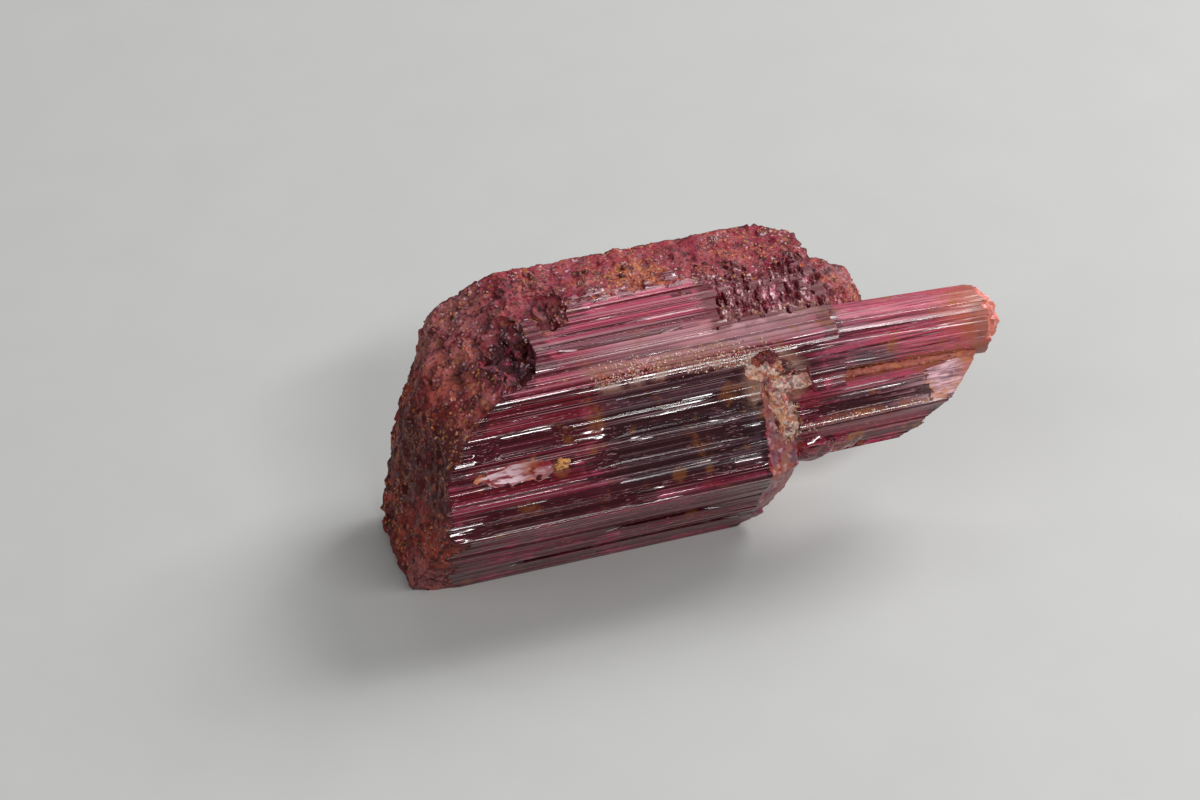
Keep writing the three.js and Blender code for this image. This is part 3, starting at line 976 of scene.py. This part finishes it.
def broken_surface(stain, flakes):
    material, tree, shader, place = new_surface("broken_crust")
    relief = kept_value(tree, "relief")
    height = place.parts()[2]
    upper = height.ramp(12.0, 15.0)
    mottle = place.noise(0.9, 8.0, 0.7)
    specks = place.noise(0.22, 4.0, 0.6)
    patches = place.noise(5.0, 3.0)
    spots = place.noise(2.2, 3.0)
    tint, orange, mauve = flake_values(place, 0.45, flakes)
    fleck, painted_sparkle, _ = flake_values(place, 0.15, flakes)
    color = blend(mottle.ramp(0.36, 0.62), BARK, SKIN)
    color = blend(upper * mottle.ramp(0.34, 0.54) * 0.85, color, blend(tint, WINE, DUSTY_PINK))
    color = blend(patches.ramp(0.52, 0.66) * mottle.ramp(0.42, 0.6) * 0.5, color, RUST_RED)
    color = blend(upper * place.noise(3.2, 3.0).ramp(0.48, 0.6) * 0.75, color, WINE)
    for middle, radius, weight, patch in CRUST_PATCHES:
        color = blend(near(place, middle, radius) * mottle.ramp(0.34, 0.58) * weight, color, patch)
    color = blend(mauve.ramp(0.7, 0.9) * (upper * 0.35 + 0.1), color, DUSTY_MAUVE)
    color = blend(orange.ramp(0.6, 0.85) * (1.0 - spots.ramp(0.40, 0.52)) * 0.5, color, RUST_PINK)
    rusty = rust(place, 1.0, upper * 0.08 + 0.26, stain)
    color = blend(rusty * 0.55, color, OCHRE)
    color = blend(height.ramp(15.7, 16.4) * (1.0 - tint * 0.6) * 0.6, color, WINE)
    color = blend((1.0 - specks.ramp(0.36, 0.5)) * 0.7, color, BARK)
    color = blend((1.0 - mottle.ramp(0.40, 0.50)) * upper * 0.5, color, BARK)
    # Hollows of the crust turn dark: painted shade
    color = blend((1.0 - relief.ramp(0.2, 0.5)) * 0.7, color, BARK)
    # The hollows and the rusty hole are painted dark: painted shade, with a little mauve and smoke
    for (middle, radii), shade in zip((*HOLLOWS, RUSTY_HOLE), HOLLOW_SHADES):
        dark = blend(tint.ramp(0.5, 0.9), BARK, blend(mauve, WINE, SMOKE))
        color = blend(near(place, middle, radii[1]) * shade, color, dark)
    color = blend(fleck.ramp(0.90, 0.96) * patches.ramp(0.44, 0.56) * 0.5, color, GOLD)
    # Rare pale flecks, more on the upper crust, are painted sparkles: glints of light off tiny facets
    color = blend(painted_sparkle.ramp(0.90, 0.97) * spots.ramp(0.45, 0.6) * (upper * 0.3 + 0.2), color, PEARL)
    feed(shader.inputs["Base Color"], color)
    feed(shader.inputs["Roughness"], specks.ramp(0.35, 0.7) * 0.4 + 0.35 - painted_sparkle.ramp(0.8, 0.9) * 0.2)
    shader.inputs["Specular IOR Level"].default_value = 0.25
    feed(shader.inputs["Normal"], bumped(specks + tint * 0.4, 0.18 * MM, 0.7))
    return material


def matrix_surface(stain, flakes):
    material, _, shader, place = new_surface("chalky_matrix")
    specks = place.noise(0.3, 4.0, 0.65)
    tint, dark, _ = flake_values(place, 0.25, flakes)
    color = blend((place.noise(0.8, 4.0) * 0.7 + tint * 0.3).ramp(0.35, 0.6), ROSE, CHALK)
    color = blend(dark.ramp(0.7, 0.9) * 0.6, color, SMOKE)
    along = place.parts()[0]
    color = blend(along.ramp(27.5, 28.5) * 0.9, color, RUST_PINK)
    rusty = rust(place, 1.2, 0.38, stain)
    color = blend(rusty * 0.7, color, OCHRE)
    color = blend((1.0 - along.ramp(14.0, 15.0)) * specks.ramp(0.3, 0.55), color, GOLD)
    feed(shader.inputs["Base Color"], blend((1.0 - specks.ramp(0.3, 0.5)) * 0.6, color, BARK))
    feed(shader.inputs["Roughness"], specks * 0.4 + 0.45)
    feed(shader.inputs["Normal"], bumped(specks, 0.1 * MM, 0.7))
    return material


def grain_surface(name, stain, dark, light):
    material, tree, shader, place = new_surface(name)
    tint = kept_value(tree, "tint")
    specks = place.noise(0.15, 3.0, 0.6)
    color = blend(tint.ramp(0.1, 0.6), dark, light)
    color = blend(tint.ramp(0.85, 0.92) * 0.3, color, BLUSH)
    rusty = rust(place, 2.4, 0.4, stain)
    color = blend((rusty * 0.8 + tint.ramp(0.94, 0.97)).work("MINIMUM", 1.0), color, OCHRE)
    feed(shader.inputs["Base Color"], blend(specks.ramp(0.45, 0.7) * 0.4, color, BARK))
    feed(shader.inputs["Roughness"], specks * 0.4 + 0.2)
    feed(shader.inputs["Normal"], bumped(specks, 0.05 * MM, 0.6))
    return material


def floor_surface():
    material, _, shader, place = new_surface("pale_floor")
    feed(shader.inputs["Base Color"], blend(place.noise(6.0, 3.0), PALE_GREY, PALER_GREY))
    shader.inputs["Roughness"].default_value = 0.55
    return material


stain = stain_group()
flakes = flake_group()
tourmaline = tourmaline_surface(stain)
broken_crust = broken_surface(stain, flakes)
chalky_matrix = matrix_surface(stain, flakes)
crust_grains = grain_surface("crust_grains", stain, SKIN, MAUVE)
sand_grains = grain_surface("sand_grains", stain, RUST_PINK, CHALK)
frosted_tourmaline = frosted_surface(stain, flakes)
crystal = make_crystal(tourmaline, broken_crust, frosted_tourmaline, chalky_matrix)
crystal.name = "crystal"


def scatter_grains(name, tree, line, reach, **sizes):
    """Grains on the finished crystal, near a line"""
    start, end = (Vector(place) * MM for place in line)
    grains = bpy.data.objects.new(name, crystal.data.copy())
    bpy.context.scene.collection.objects.link(grains)
    return shape(grains, tree, line_start=list(start), line_run=list(end - start), reach=reach * MM, **sizes)


grain_shapes = grain_tree()
pieces = [(crystal, "tourmaline")]
pieces.append((scatter_grains(
    "crust_grains", grain_shapes, ((0, 0, 0), (30, 0, 0)), 60, bed=broken_crust, density=5.0e6,
    smallest=0.05 * MM, largest=0.15 * MM, patch_size=2.5 * MM, seed=5, surface=crust_grains,
), "crust"))
for number, (line, reach) in enumerate(SAND_LINES):
    pieces.append((scatter_grains(
        f"sand_{number}", grain_shapes, line, reach, bed=tourmaline, density=1.2e8, smallest=0.03 * MM,
        largest=0.10 * MM, patch_size=0.7 * MM, seed=15 + number, surface=sand_grains,
    ), "crust"))

# Edges that turn by more degrees than this stay sharp
SHARP_ANGLE = 35
for piece, slot in pieces:
    piece.data.transform(Matrix.Translation(FOOT))
    piece.data.shade_smooth()
    piece.data.set_sharp_from_angle(angle=math.radians(SHARP_ANGLE))
    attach(piece, "root")
    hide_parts(NODE)

# Floor, light and camera
FLOOR_HALF = 1000
FLOOR_TURNS = ((-1, -1), (1, -1), (1, 1), (-1, 1))
floor_corners = [(x * FLOOR_HALF, y * FLOOR_HALF, 0) for x, y in FLOOR_TURNS]
floor = mesh_object("floor", floor_corners, (), [(0, 1, 2, 3)])
floor.data.materials.append(floor_surface())


def soft_light(name, place, size, power, aim=(0, 0, 0.008)):
    data = bpy.data.lights.new(name, "AREA")
    data.shape = "RECTANGLE"
    data.size, data.size_y = size
    data.energy = power
    lamp = bpy.data.objects.new(name, data)
    lamp.location = place
    lamp.rotation_euler = (Vector(aim) - lamp.location).to_track_quat("-Z", "Y").to_euler()
    bpy.context.scene.collection.objects.link(lamp)


soft_light("right_key", (0.36, 0.18, 0.32), (0.25, 0.25), 2.7)
soft_light("left_fill", (-0.35, -0.10, 0.25), (0.3, 0.3), 0.5)
soft_light("front_strip", (0.12, -0.30, 0.34), (0.30, 0.04), 1.1)
soft_light("back_strip", (0.13, 0.22, 0.38), (0.3, 0.03), 0.2)
world = bpy.data.worlds.new("studio")
world.use_nodes = True
world.node_tree.nodes["Background"].inputs["Color"].default_value = (0.8, 0.82, 0.85, 1)
world.node_tree.nodes["Background"].inputs["Strength"].default_value = 0.14
bpy.context.scene.world = world
bpy.context.scene.view_settings.view_transform = "Standard"

AZIMUTH, ELEVATION = math.radians(-18.5), math.radians(39)
DISTANCE = 0.3
LENS, SENSOR = 135, 36
IMAGE_WIDTH, IMAGE_HEIGHT = 1200, 800
FOOT_PIXEL = (415, 597)
to_camera = Vector((
    math.sin(AZIMUTH) * math.cos(ELEVATION), -math.cos(AZIMUTH) * math.cos(ELEVATION), math.sin(ELEVATION),
))
right = Vector((math.cos(AZIMUTH), math.sin(AZIMUTH), 0))
up = to_camera.cross(right)
camera_data = bpy.data.cameras.new("camera")
camera_data.lens = LENS
camera_data.sensor_width = SENSOR
camera_data.clip_start = 0.01
pixel = DISTANCE * SENSOR / LENS / IMAGE_WIDTH
camera = bpy.data.objects.new("camera", camera_data)
camera.location = FOOT + to_camera * DISTANCE + pixel * (
    right * (IMAGE_WIDTH / 2 - FOOT_PIXEL[0]) + up * (FOOT_PIXEL[1] - IMAGE_HEIGHT / 2)
)
camera.rotation_euler = (-to_camera).to_track_quat("-Z", "Y").to_euler()
bpy.context.scene.collection.objects.link(camera)
bpy.context.scene.camera = camera
